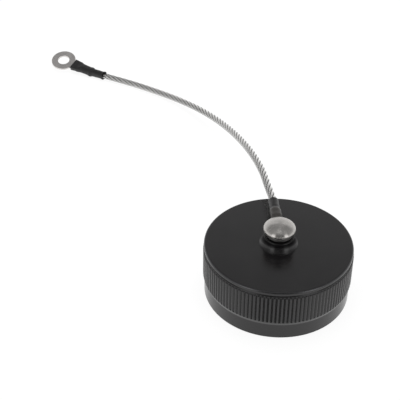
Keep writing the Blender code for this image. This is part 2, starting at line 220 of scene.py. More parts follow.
def finish_geometry(geometry, material):
    """End a tree: smooth shading, real geometry and its material."""
    tree = geometry.tree
    smooth = add_node(tree, "GeometryNodeSetShadeSmooth", {"Geometry": geometry})
    real = add_node(tree, "GeometryNodeRealizeInstances", {"Geometry": smooth})
    painted = add_node(tree, "GeometryNodeSetMaterial", {"Geometry": real, "Material": material})
    add_node(tree, "NodeGroupOutput", {"Geometry": painted})


def knurl_height(given, inside_rib):
    """How far a rib stands up at a share of its pitch: a flat crest between two steep flanks."""
    aside = abs(inside_rib) * given["Rib Pitch"]
    foot = given["Rib Foot"] * 0.5
    crest = given["Rib Crest"] * 0.5
    share = ((foot - aside) / (foot - crest)).at_least(0.0).at_most(1.0)
    return share * given["Rib Height"]


def thread_radius(given, turn, height):
    """The coupling thread's radius at a share of a turn and a height, from crest to root."""
    phase = (height / given["Thread Pitch"] - turn * given["Thread Starts"]).fraction()
    flank = smooth_step(abs(phase - 0.5), THREAD_GROOVE_MOUTH, THREAD_GROOVE_FLOOR)
    return given["Thread Crest"] + flank * given["Thread Depth"]


def make_turning_tree():
    """Turns an outline of points (radius, height) round Z, with ribs and a thread where marked.

    Each outline point says how many columns its ring has; rings are merged where they are coarser.
    """
    tree, given = new_tree("turned_part", "GeometryNodeTree", {
        "Outline": "Geometry", "Columns": 96.0, "Rib Count": 12.0, "Rib Columns": 1.0,
        "Rib Height": 0.0, "Rib Crest": 0.5, "Rib Foot": 1.0, "Rib Pitch": 1.0,
        "Thread Crest": 0.0, "Thread Depth": 0.0, "Thread Pitch": 1.0, "Thread Starts": 1.0,
        "Material": "Material",
    }, {"Geometry": "Geometry"})
    outline = given["Outline"]
    rows = add_node(tree, "GeometryNodeAttributeDomainSize", {"Geometry": outline}, "Point Count")
    grid = add_node(tree, "GeometryNodeMeshGrid",
                    {"Vertices X": given["Columns"] + 1.0, "Vertices Y": rows})
    index = add_node(tree, "GeometryNodeInputIndex")
    column = ((index + 0.5) / rows).floor()
    row = index - column * rows

    def read(source, data_type="FLOAT"):
        """An outline point's own value, for the row that a grid point is in."""
        inputs = {"Geometry": outline, "Value": source, "Index": row}
        return add_node(tree, "GeometryNodeSampleIndex", inputs, data_type=data_type,
                        domain="POINT")

    position = add_node(tree, "GeometryNodeInputPosition")
    outline_radius, height, _ = split(read(position, "FLOAT_VECTOR"))
    ring_columns = read(recall(tree, "columns"))
    rib_place = column / given["Rib Columns"]
    rib = rib_place.floor()
    inside_rib = rib_place - rib - 0.5
    crowd = add_node(tree, "ShaderNodeFloatCurve", {"Value": abs(inside_rib) * 2.0})
    mapping = crowd.socket.node.mapping
    bend = mapping.curves[0].points
    last = len(RIB_COLUMN_PLACES) - 1
    for count, after in enumerate(RIB_COLUMN_PLACES):
        spot = bend[0] if count == 0 else bend[1] if count == last else bend.new(0.5, 0.5)
        spot.handle_type = "VECTOR"
        spot.location = (count / last, after / 12)
    mapping.update()
    inside_rib = crowd * inside_rib.sign() * 0.5
    fine_turn = (rib + inside_rib) / given["Rib Count"]
    step = column * (ring_columns / given["Columns"])
    coarse_turn = step.rounded() / ring_columns - 0.5 / given["Rib Count"]
    turn = blend(ring_columns.equals(given["Columns"], 0.5), coarse_turn, fine_turn)

    knurled = read(recall(tree, "knurled"))
    ribs = knurl_height(given, inside_rib) * knurled
    thread = thread_radius(given, turn, height) * read(recall(tree, "threaded"))
    radius = (outline_radius + ribs).at_least(thread)
    angle = turn * (2 * math.pi)
    place = add_node(tree, "ShaderNodeCombineXYZ",
                     {"X": radius * angle.cosine(), "Y": radius * angle.sine(), "Z": height})
    moved = add_node(tree, "GeometryNodeSetPosition", {"Geometry": grid, "Position": place})
    # Marks how deep each point lies in the gap between ribs, where the material paints shade.
    marked = keep(moved, "rib_gap_shade", knurled - ribs / given["Rib Height"])
    merged = add_node(tree, "GeometryNodeMergeByDistance", {"Geometry": marked, "Distance": 1e-7})
    finish_geometry(merged, given["Material"])
    return tree


# The most that an edge's rounding takes of the side next to it
SIDE_SHARE = 0.42


def outline_of(corners, columns, segments=3, guard=0.00012):
    """Outline points through (radius, height, edge radius) corners, with rounded edges.

    A guard point beside each edge keeps the flat faces flat when they are shaded smooth.
    """
    points = []
    for index, (radius, height, edge) in enumerate(corners):
        corner = Vector((radius, height))
        before = Vector(corners[index - 1][:2]) - corner
        after = Vector(corners[(index + 1) % len(corners)][:2]) - corner
        if edge == 0 or before.length == 0 or after.length == 0:
            points.append((*corner, columns))
            continue
        half = max(before.angle(after) / 2, 0.05)
        room = SIDE_SHARE * min(before.length, after.length)
        reach = min(edge / math.tan(half), room)
        start = corner + before.normalized() * reach
        end = corner + after.normalized() * reach
        if before.length - reach > 5 * guard:
            points.append((*(start + before.normalized() * guard), columns))
        for step in range(segments + 1):
            share = step / segments
            spot = start * (1 - share) ** 2 + corner * 2 * share * (1 - share) + end * share ** 2
            points.append((*spot, columns))
        if after.length - reach > 5 * guard:
            points.append((*(end + after.normalized() * guard), columns))
    return points


def add_object(name, data):
    """A new object in the scene, at its origin."""
    made = bpy.data.objects.new(name, data)
    bpy.context.scene.collection.objects.link(made)
    return made


def plain_mesh(source, name):
    """What an object's modifiers make, as a plain mesh piece with its faces outwards."""
    shown = source.evaluated_get(bpy.context.evaluated_depsgraph_get())
    made = bpy.data.meshes.new_from_object(shown)
    bpy.data.objects.remove(source)
    shape = bmesh.new()
    shape.from_mesh(made)
    bmesh.ops.recalc_face_normals(shape, faces=shape.faces)
    shape.to_mesh(made)
    shape.free()
    made.name = name
    return add_object(name, made)


def set_inputs(modifier, tree, values):
    """Give a modifier its tree, and set the tree's inputs by their sockets' identifiers."""
    modifier.node_group = tree
    names = {socket.name: socket.identifier for socket in tree.interface.items_tree
             if socket.in_out == "INPUT"}
    for name, value in values.items():
        modifier[names[name]] = value


turning_tree = make_turning_tree()


def turn_piece(name, points, material, sizes=None, knurled=None, threaded=()):
    """A turned piece from outline points (radius, height, columns in that ring).

    Knurled gives the share of their full height that the ribs have in a row.
    """
    mesh = bpy.data.meshes.new(name + "_outline")
    links = [(index, index + 1) for index in range(len(points) - 1)]
    mesh.from_pydata([(radius, height, 0) for radius, height, _ in points], links, [])
    marks = {
        "columns": [float(columns) for _, _, columns in points],
        "knurled": [(knurled or {}).get(index, 0.0) for index in range(len(points))],
        "threaded": [float(index in threaded) for index in range(len(points))],
    }
    for mark, values in marks.items():
        mesh.attributes.new(mark, "FLOAT", "POINT").data.foreach_set("value", values)
    source = add_object(name + "_outline", mesh)
    most = float(max(columns for _, _, columns in points))
    values = {"Columns": most, "Rib Count": most, "Material": material, **(sizes or {})}
    set_inputs(source.modifiers.new("turned", "NODES"), turning_tree, values)
    return plain_mesh(source, name)


def object_place(tree):
    return add_node(tree, "ShaderNodeTexCoord", output="Object")


def from_axis(place):
    """How far a place is from the Z axis, and its height."""
    x, y, z = split(place)
    return length_of(add_node(place.tree, "ShaderNodeCombineXYZ", {"X": x, "Y": y})), z


def noise_at(place, scale, detail):
    inputs = {"Vector": place, "Scale": scale, "Detail": detail}
    return add_node(place.tree, "ShaderNodeTexNoise", inputs, "Fac")


# Noise keeps near its middle, so a finish stretches its swing
NOISE_STRETCH = 4.0


def make_grain_group():
    """Fine grain for any finish: a mottled colour, an uneven roughness and a rough height."""
    tree, given = new_tree("surface_grain", "ShaderNodeTree", {
        "Colour": (0.5, 0.5, 0.5, 1.0), "Colour Spread": 0.1, "Roughness": 0.4,
        "Roughness Spread": 0.05, "Grain Size": 0.0002, "Patch Size": 0.006,
    }, {"Colour": "Color", "Roughness": "Float", "Height": "Float"})
    place = object_place(tree)
    grain = noise_at(place, 1.0 / given["Grain Size"], 2.0)
    patch = noise_at(place, 1.0 / given["Patch Size"], 3.0)
    swing = (grain * 0.5 + patch * 0.5 - 0.5) * NOISE_STRETCH
    add_node(tree, "NodeGroupOutput", {
        "Colour": scaled(given["Colour"], swing * given["Colour Spread"] + 1.0),
        "Roughness": swing * given["Roughness Spread"] + given["Roughness"],
        "Height": grain})
    return tree


# Tool marks cross upright walls too, where a step in height counts as this much of one outwards
LINES_UP_WALLS = 0.83


def make_turning_lines_group():
    """Tool marks of a lathe, which run round the Z axis: a height from the way across them."""
    tree, given = new_tree("turning_lines", "ShaderNodeTree", {"Spacing": 0.0001},
                           {"Height": "Float"})
    radius, height = from_axis(object_place(tree))
    across = (radius + height * LINES_UP_WALLS) / given["Spacing"]
    lines = add_node(tree, "ShaderNodeTexNoise", {"W": across, "Scale": 1.0, "Detail": 2.0},
                     "Fac", noise_dimensions="1D")
    add_node(tree, "NodeGroupOutput", {"Height": lines})
    return tree


# How full a worn ring is, how many patches it has in a metre, and how far they differ
WEAR_FULLNESS = 2.5
WEAR_PATCHES = 900.0
WEAR_CONTRAST = 3.0


def make_ring_wear_group():
    """Where a turned edge has been rubbed: a patchy ring at a radius and height."""
    tree, given = new_tree("ring_wear", "ShaderNodeTree", {
        "Radius": 0.01, "Height": 0.0, "Reach": 0.0005, "Patchiness": 0.5}, {"Amount": "Float"})
    place = object_place(tree)
    radius, height = from_axis(place)
    aside = add_node(tree, "ShaderNodeCombineXYZ",
                     {"X": radius - given["Radius"], "Y": height - given["Height"]})
    near = (1.0 - length_of(aside) / given["Reach"]).clamped()
    near = (near * WEAR_FULLNESS).clamped()
    patch = (noise_at(place, WEAR_PATCHES, 4.0) - 0.5) * given["Patchiness"]
    worn = (near * (patch * WEAR_CONTRAST + 1.0)).clamped()
    add_node(tree, "NodeGroupOutput", {"Amount": worn})
    return tree


grain_group = make_grain_group()
turning_lines_group = make_turning_lines_group()
ring_wear_group = make_ring_wear_group()


def spaced(values):
    """Keyword values by their sockets' names."""
    return {name.replace("_", " "): value for name, value in values.items()}


def start_material(name, **constants):
    """A material with its Principled shader, whose constant sockets are set here."""
    material = bpy.data.materials.new(name)
    material.use_nodes = True
    tree = material.node_tree
    shader = tree.nodes["Principled BSDF"]
    join(shader, spaced(constants))
    return material, tree, shader


def use_group(tree, group, **values):
    node = tree.nodes.new("ShaderNodeGroup")
    node.node_tree = group
    join(node, spaced(values))
    return outputs_of(node)


def use_grain(shader, **values):
    """Give a shader its grain's colour and roughness, and return what the grain group gives."""
    grain = use_group(shader.id_data, grain_group, **values)
    join(shader, {"Base Color": grain["Colour"], "Roughness": grain["Roughness"]})
    return grain


def roughen(shader, *bumps):
    """Bump nodes in a chain: (what a group gives, depth in metres, strength) each."""
    normal = {}
    for marks, depth, strength in bumps:
        inputs = {"Height": marks["Height"], "Distance": depth, "Strength": strength, **normal}
        normal = {"Normal": add_node(shader.id_data, "ShaderNodeBump", inputs)}
    join(shader, normal)


def mix_colour(share, first, second):
    """The first colour where the share is 0 and the second where it is 1."""
    inputs = {"Factor": share, 6: first, 7: second}
    return add_node(share.tree, "ShaderNodeMix", inputs, 2, data_type="RGBA")


def mark_on(tree, name):
    """A number that the mesh keeps on its points."""
    return add_node(tree, "ShaderNodeAttribute", output="Fac", attribute_name=name)


def make_anodised():
    bare_metal = (0.095, 0.095, 0.098, 1.0)
    # Painted shade for the gaps between the knurl's ribs.
    painted_gap_shade = (0.0012, 0.0012, 0.0012, 1.0)
    material, tree, shader = start_material("black_anodised", IOR=1.52)
    grain = use_grain(shader, Colour=(0.0088, 0.0082, 0.0088, 1.0), Colour_Spread=0.3,
                      Roughness=0.22, Roughness_Spread=0.03, Grain_Size=0.00012, Patch_Size=0.007)
    lines = use_group(tree, turning_lines_group, Spacing=0.00011)
    edge = use_group(tree, ring_wear_group, Radius=LIP_RADIUS - 0.3 * EDGE_WIDTH,
                     Height=CAP_HEIGHT - 0.3 * EDGE_HEIGHT, Reach=0.0003, Patchiness=0.35)
    colour = mix_colour(edge["Amount"], grain["Colour"], bare_metal)
    # The gaps between the ribs are painted near black, as painted shade in the knurl's crevices.
    colour = mix_colour(mark_on(tree, "rib_gap_shade"), colour, painted_gap_shade)
    join(shader, {"Base Color": colour, "Metallic": edge["Amount"]})
    roughen(shader, (lines, 0.000004, 0.35), (grain, 0.000006, 0.3))
    return material


def make_cap_outline():
    """The closed outline of the cap, with the rows of the knurl and of the thread."""
    around = PLAIN_COLUMNS
    fine = RIB_COUNT * RIB_COLUMNS
    lip_top = CAP_HEIGHT - EDGE_HEIGHT
    lip_bottom = lip_top - LIP_WIDTH
    groove_top = lip_bottom - GROOVE_FLARE
    groove_bottom = groove_top - GROOVE_WIDTH
    band_top = groove_bottom - BAND_RUN_OUT
    foot_radius = RIB_TIP_RADIUS - RIB_HEIGHT

    corners = [(SHANK_HOLE_RADIUS, BOSS_TOP, 0.0001), (BOSS_TOP_RADIUS, BOSS_TOP, 0.00025)]
    foot = CAP_HEIGHT + BOSS_FOOT_STEP
    rise = BOSS_TOP - foot
    reach = BOSS_FOOT_RADIUS - BOSS_TOP_RADIUS
    for share in BOSS_FLANK_SHARES:
        radius = BOSS_TOP_RADIUS + reach * (1 - share) ** BOSS_FLARE
        corners.append((radius, foot + rise * share, 0))
    corners += [(BOSS_FOOT_RADIUS, foot, 0.0001), (BOSS_FOOT_RADIUS, CAP_HEIGHT, 0.0001),
                (LIP_RADIUS - EDGE_WIDTH - 0.0003, CAP_HEIGHT, 0)]
    crown = outline_of(corners, around)[1:]
    crown.insert(0, (SHANK_HOLE_RADIUS, BOSS_TOP - 0.0003, around))

    edge = [(LIP_RADIUS - EDGE_WIDTH - 0.0001, CAP_HEIGHT, 0)]
    for row in range(BEVEL_ROWS + 1):
        angle = math.pi / 2 * row / BEVEL_ROWS
        radius = LIP_RADIUS - EDGE_WIDTH * (1 - math.sin(angle))
        edge.append((radius, lip_top + EDGE_HEIGHT * math.cos(angle), 0))
    knurl_top = band_top - BAND_LEDGE
    edge += [
        (LIP_RADIUS, lip_bottom, 0.00012),
        (GROOVE_RADIUS, groove_top, 0.00008),
        (GROOVE_RADIUS, groove_bottom, 0.00008),
        (foot_radius, band_top, 0.0001),
        (foot_radius, knurl_top, 0),
    ]
    lip = outline_of(edge, around)
    lip[-1] = (*lip[-1][:2], fine)
    taper_slope = (RIB_TIP_RADIUS - SKIRT_RADIUS) / (TAPER_TOP - TAPER_BOTTOM)
    taper_at_knurl = SKIRT_RADIUS + (BAND_BOTTOM - TAPER_BOTTOM) * taper_slope
    last_rib = (taper_at_knurl + 0.0001 * taper_slope - foot_radius) / RIB_HEIGHT
    knurl = [(knurl_top - depth, share) for depth, share in RIB_RUN_OUT]
    knurl += [(TAPER_TOP + 0.0003, 1.0), (TAPER_TOP, 0.97), (BAND_BOTTOM + 0.0001, last_rib)]
    skirt = [
        (foot_radius, BAND_BOTTOM + 0.0001, 0),
        (taper_at_knurl, BAND_BOTTOM, 0.00003),
        (SKIRT_RADIUS, TAPER_BOTTOM, 0.0006),
        (SKIRT_RADIUS, RIM_CHAMFER, 0.00012),
        (SKIRT_RADIUS - RIM_CHAMFER, 0, 0.00012),
        (SKIRT_RADIUS - RIM_CHAMFER - 0.0005, 0, 0),
    ]
    skirt = [(radius, height, fine if height > BAND_BOTTOM - 0.0001 else around)
             for radius, height, _ in outline_of(skirt, around)[1:]]

    mouth = outline_of([
        (SKIRT_RADIUS - RIM_CHAMFER - 0.0007, 0, 0),
        (MOUTH_RADIUS, 0, 0.00012),
        (MOUTH_RADIUS, MOUTH_STEP, 0.00005),
        (MOUTH_RADIUS - 0.0002, MOUTH_STEP + 0.0002, 0),
    ], around)
    thread = []
    low, high = MOUTH_STEP + 0.0003, RELIEF_LOW + 0.0002
    for row in range(THREAD_ROWS + 1):
        height = low + (high - low) * row / THREAD_ROWS
        slope = (height - MOUTH_STEP) / MOUTH_CHAMFER
        radius = MOUTH_RADIUS + (THREAD_CREST_RADIUS - MOUTH_RADIUS) * min(1.0, slope)
        back = (height - (RELIEF_LOW - RELIEF_SLOPE)) / RELIEF_SLOPE
        radius += (RELIEF_RADIUS - THREAD_CREST_RADIUS) * min(1.0, max(0.0, back))
        thread.append((radius, height, around))
    bore = outline_of([
        (RELIEF_RADIUS, RELIEF_LOW + 0.0003, 0),
        (RELIEF_RADIUS, SEAL_BORE_LOW, 0.0002),
        (SEAL_BORE_RADIUS, SEAL_BORE_LOW, 0.0002),
        (SEAL_BORE_RADIUS, END_FACE, 0.0002),
        (SHANK_HOLE_RADIUS, END_FACE, 0.0001),
        (SHANK_HOLE_RADIUS, END_FACE + 0.0003, 0),
    ], around)
    points = crown + lip
    knurled = {len(points) + row: share for row, (_, share) in enumerate(knurl)}
    points += [(foot_radius, height, fine) for height, _ in knurl]
    points += skirt + mouth
    threaded = range(len(points), len(points) + len(thread))
    points += thread + bore
    points.append(points[0])
    return points, knurled, threaded


cap_points, knurl_rows, thread_rows = make_cap_outline()
cap_shell = turn_piece("cap_shell", cap_points, make_anodised(), {
    "Rib Count": float(RIB_COUNT),
    "Rib Columns": float(RIB_COLUMNS),
    "Rib Height": RIB_HEIGHT,
    "Rib Crest": RIB_CREST_WIDTH,
    "Rib Foot": RIB_FOOT_WIDTH,
    "Rib Pitch": 2 * math.pi * (RIB_TIP_RADIUS - RIB_HEIGHT) / RIB_COUNT,
    "Thread Crest": THREAD_CREST_RADIUS,
    "Thread Depth": THREAD_DEPTH,
    "Thread Pitch": THREAD_PITCH,
    "Thread Starts": float(THREAD_STARTS),
}, knurl_rows, thread_rows)
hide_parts("cap_body")
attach(cap_shell, "cap")


# NEAR RING TERMINAL
# A stamped copper ring terminal that turns on the rivet's shoulder under its head. Its barrel
# is crimped on the rope's end. Its tin plate is painted darker, as painted shade under the head.

ROUNDED_EDGE = 0.00012
# Corners nearer than this are one, and so are faces that meet flatter than the first angle.
# Edges sharper than the second angle are rounded. Both are in degrees.
SAME_CORNER = 2e-6
FLAT_ANGLE = 1.5
SHARP_ANGLE = 38


def rounded_copy(node, name, material, edge):
    """A CAD node's own shape with the soft edges that stamping and plating leave."""
    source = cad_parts[node].copy()
    source.data = source.data.copy()
    source.parent = None
    source.hide_render = False
    source.hide_viewport = False
    for key in [key for key in source.keys() if key.startswith("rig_")]:
        del source[key]
    bpy.context.scene.collection.objects.link(source)
    shape = bmesh.new()
    shape.from_mesh(source.data)
    bmesh.ops.remove_doubles(shape, verts=shape.verts, dist=SAME_CORNER)
    bmesh.ops.dissolve_limit(shape, angle_limit=math.radians(FLAT_ANGLE), verts=shape.verts,
                             edges=shape.edges)
    for face in shape.faces:
        face.smooth = True
    shape.to_mesh(source.data)
    shape.free()
    bevel = source.modifiers.new("soft_edges", "BEVEL")
    bevel.width = edge
    bevel.segments = 3
    bevel.limit_method = "ANGLE"
    bevel.angle_limit = math.radians(SHARP_ANGLE)
    bevel.harden_normals = True
    piece = plain_mesh(source, name)
    piece.data.materials.clear()
    piece.data.materials.append(material)
    return piece


def make_grained(name, depth, strength, constants, **grain_values):
    """A material of one colour, with nothing but grain in it."""
    material, _, shader = start_material(name, **constants)
    roughen(shader, (use_grain(shader, **grain_values), depth, strength))
    return material


# This plate is painted darker than the far terminal's, as painted shade under the rivet head.
plate_with_painted_shade = make_grained(
    "darkened_terminal", 0.00001, 0.4, {"Metallic": 1.0}, Colour=(0.42, 0.41, 0.40, 1.0),
    Colour_Spread=0.2, Roughness=0.42, Roughness_Spread=0.06, Grain_Size=0.00015,
    Patch_Size=0.002)
near_terminal = rounded_copy("near_ring_terminal", "near_terminal", plate_with_painted_shade, ROUNDED_EDGE)
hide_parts("near_ring_terminal")
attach(near_terminal, "lanyard")


# FAR RING TERMINAL
# The same kind of stamped ring terminal at the free end, made for a 5 mm screw. Its tin plate
# is bare and has gone dull.

tin_plate = make_grained(
    "plated_terminal", 0.00001, 0.35, {"Metallic": 1.0}, Colour=(0.73, 0.705, 0.69, 1.0),
    Colour_Spread=0.12, Roughness=0.40, Roughness_Spread=0.09, Grain_Size=0.00018,
    Patch_Size=0.0025)
far_terminal = rounded_copy("far_ring_terminal", "far_terminal", tin_plate, ROUNDED_EDGE)
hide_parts("far_ring_terminal")
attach(far_terminal, "lanyard")


# WIRE ROPE
# 7 by 7 stainless rope, 3/32 inch: six strands of seven wires are laid right-hand round a
# core strand. It leaves the rivet level, sags to the table and lies there to its far end.

ROPE_DIAMETER = 0.00238
ROPE_OVER_CRESTS = 0.00256
ROPE_LAY = 0.0172
STRAND_LAY = 0.0068
STRAND_COUNT = 6
STRAND_WIRES = 6
WIRE_SIDES = 5
WIRE_RELIEF = 0.12
WIRE_STEP = 0.00045
CORE_STEP = 0.002
# Radii in the rope, in wires' radii: to a strand's axis, of a strand, of the core, of it all
STRAND_OUT = 6.0
STRAND_SIZE = 3.0
CORE_SIZE = 3.2
ROPE_SIZE = 9.0
CORE_SIDES = 10
# Where the painted shade on the strands' crests starts and is full, in shares of the rope's radius
CREST_START = 0.90
CREST_FULL = 0.97
EYE_MIDDLE = 0.02375
NEAR_HEADING = 93.6
NEAR_BARREL_END = 0.0107
NEAR_SLEEVE_TAIL = 0.0062
FAR_MOUTH = (-0.06913, 0.13848, 0.00185)
FAR_HEADING = 151.4
FAR_SLEEVE_TAIL = 0.0066
SEAT_GAP = 0.0003
# The places that the rope passes between its sleeves
ROPE_ROUTE = [
    (-0.00245, 0.02634, 0.02320),
    (-0.00365, 0.03548, 0.02226),
    (-0.00518, 0.04390, 0.02099),
    (-0.00716, 0.05290, 0.01922),
    (-0.00915, 0.06105, 0.01722),
    (-0.01144, 0.06965, 0.01482),
    (-0.01377, 0.07749, 0.01250),
    (-0.01665, 0.08595, 0.00998),
    (-0.01983, 0.09375, 0.00775),
    (-0.02400, 0.10185, 0.00568),
    (-0.02886, 0.10911, 0.00412),
    (-0.03481, 0.11605, 0.00288),
    (-0.04144, 0.12222, 0.00202),
    (-0.04826, 0.12739, 0.00154),
    (-0.05608, 0.13222, 0.00146),
]


def smooth_route(points, steps):
    """Points read from a smooth curve through the given ones."""
    points = [Vector(point) for point in points]
    padded = [points[0] * 2 - points[1]] + points + [points[-1] * 2 - points[-2]]
    route = []
    for index in range(1, len(padded) - 2):
        before, start, end, after = padded[index - 1:index + 3]
        for step in range(steps):
            t = step / steps
            bend = (2 * before - 5 * start + 4 * end - after) * t ** 2
            twist = (3 * start - before - 3 * end + after) * t ** 3
            route.append((2 * start + (end - before) * t + bend + twist) / 2)
    route.append(points[-1])
    return route


def make_rope_tree():
    """Lays wires in strands and strands in a rope, along the centreline that comes in."""
    tree, given = new_tree("laid_rope", "GeometryNodeTree", {
        "Centreline": "Geometry", "Strands": 6, "Wires": 6, "Wire Radius": 0.00013,
        "Wire Relief": 0.1, "Rope Lay": 0.0155, "Strand Lay": 0.006, "Step": 0.0005,
        "Wire Sides": 5, "Material": "Material",
    }, {"Geometry": "Geometry"})
    wire_radius = given["Wire Radius"]

    def resampled(step):
        inputs = {"Curve": given["Centreline"], "Length": step}
        return add_node(tree, "GeometryNodeResampleCurve", inputs, mode="LENGTH")

    def circle(sides, radius):
        inputs = {"Resolution": sides, "Radius": radius}
        return add_node(tree, "GeometryNodeCurvePrimitiveCircle", inputs)

    def swept(curve, profile):
        inputs = {"Curve": curve, "Profile Curve": profile, "Fill Caps": True}
        return add_node(tree, "GeometryNodeCurveToMesh", inputs)

    tangent = add_node(tree, "GeometryNodeInputTangent")
    normal = add_node(tree, "GeometryNodeInputNormal", output="Normal")
    line = keep(resampled(given["Step"]), "along", tangent, "FLOAT_VECTOR")
    line = keep(line, "side", normal, "FLOAT_VECTOR")
    line = keep(line, "run", add_node(tree, "GeometryNodeSplineParameter", output="Length"))
    copies = add_node(tree, "GeometryNodeDuplicateElements",
                      {"Geometry": line, "Amount": given["Strands"]}, domain="SPLINE")
    line = keep(copies, "strand", outputs_of(copies.socket.node)["Duplicate Index"])

    run = recall(tree, "run")
    side = recall(tree, "side", "FLOAT_VECTOR")
    up = add_node(tree, "ShaderNodeVectorMath", {0: recall(tree, "along", "FLOAT_VECTOR"), 1: side},
                  operation="CROSS_PRODUCT")
    share = run / given["Rope Lay"] + recall(tree, "strand") / given["Strands"]
    angle = share * (2 * math.pi)
    outward = add_node(tree, "ShaderNodeVectorMath",
                       {0: scaled(side, angle.cosine()), 1: scaled(up, angle.sine())},
                       operation="ADD")
    moved = add_node(tree, "GeometryNodeSetPosition",
                     {"Geometry": line, "Offset": scaled(outward, wire_radius * STRAND_OUT)})
    twist = run / given["Strand Lay"] * (-2 * math.pi)
    twisted = add_node(tree, "GeometryNodeSetCurveTilt", {"Curve": moved, "Tilt": twist})

    turn = add_node(tree, "GeometryNodeSplineParameter", output="Factor")
    hollow = 1.0 - abs((turn * given["Wires"] * math.pi).sine())
    section = scaled(add_node(tree, "GeometryNodeInputPosition"),
                     1.0 - hollow * given["Wire Relief"])
    profile = add_node(tree, "GeometryNodeSetPosition", {
        "Geometry": circle(given["Wires"] * given["Wire Sides"], wire_radius * STRAND_SIZE),
        "Position": section})
    core_line = resampled(CORE_STEP)
    both = add_node(tree, "GeometryNodeJoinGeometry", {"Geometry": swept(twisted, profile)})
    core = swept(core_line, circle(CORE_SIDES, wire_radius * CORE_SIZE))
    join(both.socket.node, {"Geometry": core})
    axis = add_node(tree, "GeometryNodeCurveToMesh", {"Curve": core_line})
    away = add_node(tree, "GeometryNodeProximity", {"Geometry": axis}, "Distance",
                    target_element="EDGES")
    # way_out is how far a point is from the rope's axis, and it places the painted shade on the
    # crests.
    marked = keep(both, "way_out", away / (wire_radius * ROPE_SIZE))
    finish_geometry(marked, given["Material"])
    return tree


def make_wire_steel():
    """Bright drawn wire between the strands, and darker on their crests as painted shade."""
    painted_crest_shade = (0.13, 0.127, 0.124, 1.0)
    material, tree, shader = start_material("stainless_wire", Metallic=1.0)
    grain = use_grain(shader, Colour=(0.90, 0.895, 0.885, 1.0), Colour_Spread=0.08,
                      Roughness=0.24, Roughness_Spread=0.05, Grain_Size=0.0002, Patch_Size=0.004)
    # The strands' crests are painted dark, as painted shade.
    crest = smooth_step(mark_on(tree, "way_out"), CREST_START, CREST_FULL)
    join(shader, {"Base Color": mix_colour(crest, grain["Colour"], painted_crest_shade)})
    roughen(shader, (grain, 0.000004, 0.3))
    return material


near_turn = Matrix.Translation((0, 0, EYE_MIDDLE))
near_turn = near_turn @ Matrix.Rotation(math.radians(NEAR_HEADING), 4, "Z")
far_way = math.radians(FAR_HEADING)
far_bend = Vector(FAR_MOUTH) + Vector((math.cos(far_way), math.sin(far_way), 0)) * FAR_SLEEVE_TAIL
rope_start = near_turn @ Vector((NEAR_BARREL_END + SEAT_GAP, 0, 0))
near_mouth = near_turn @ Vector((NEAR_BARREL_END + NEAR_SLEEVE_TAIL, 0, 0))
rope_points = smooth_route([rope_start, near_mouth, *ROPE_ROUTE, FAR_MOUTH, far_bend], 20)

centreline = bpy.data.curves.new("rope_centreline", "CURVE")
centreline.dimensions = "3D"
centreline.twist_mode = "MINIMUM"
spline = centreline.splines.new("POLY")
spline.points.add(len(rope_points) - 1)
for corner, place in zip(spline.points, rope_points):
    corner.co = (*place, 1.0)
rope_source = add_object("rope_centreline", centreline)
set_inputs(rope_source.modifiers.new("laid_rope", "NODES"), make_rope_tree(), {
    "Strands": STRAND_COUNT,
    "Wires": STRAND_WIRES,
    "Wire Radius": ROPE_OVER_CRESTS / 2 / ROPE_SIZE,
    "Wire Relief": WIRE_RELIEF,
    "Rope Lay": ROPE_LAY,
    "Strand Lay": STRAND_LAY,
    "Step": WIRE_STEP,
    "Wire Sides": WIRE_SIDES,
    "Material": make_wire_steel(),
})
wire_rope = plain_mesh(rope_source, "laid_wire_rope")
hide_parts("wire_rope")
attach(wire_rope, "lanyard")


# SHRINK SLEEVES
# Two cut lengths of black polyolefin tube, shrunk with a hot-air gun over each terminal's
# tongue and barrel and the first of the rope. They show what is under them and wrinkle there.

SLEEVE_COLUMNS = 56
SLEEVE_ROW = 0.00022
SLEEVE_WALL = 0.0005
SLEEVE_TAIL_WALL = 0.00036
SLEEVE_GAP = 0.0002
# Sizes of the tube's wrinkles, of the ragged cut at its head and of the thinning at its ends
WRINKLE = 0.00006
LONG_WRINKLE = 0.00005
HEAD_CUT = 0.00008
END_REACH = 0.0003
# Wrinkles in a metre of tube, the lip's share of the wall, and how the outside is rounded off
WRINKLES_ALONG = 700
LONG_WRINKLES_ALONG = 260
LIP_SHARE = 0.55
OUTSIDE_ROUNDING = 0.72


def smooth_share(share):
    return share * share * (3 - 2 * share)


def sleeve_at(spots, along):
    """The tube's section at a place along it, eased between the spots that are given."""
    for before, after in zip(spots, spots[1:]):
        if along <= after[0] or after is spots[-1]:
            share = (along - before[0]) / (after[0] - before[0])
            share = smooth_share(min(1.0, max(0.0, share)))
            return [b + (a - b) * share for b, a in zip(before[1:], after[1:])]


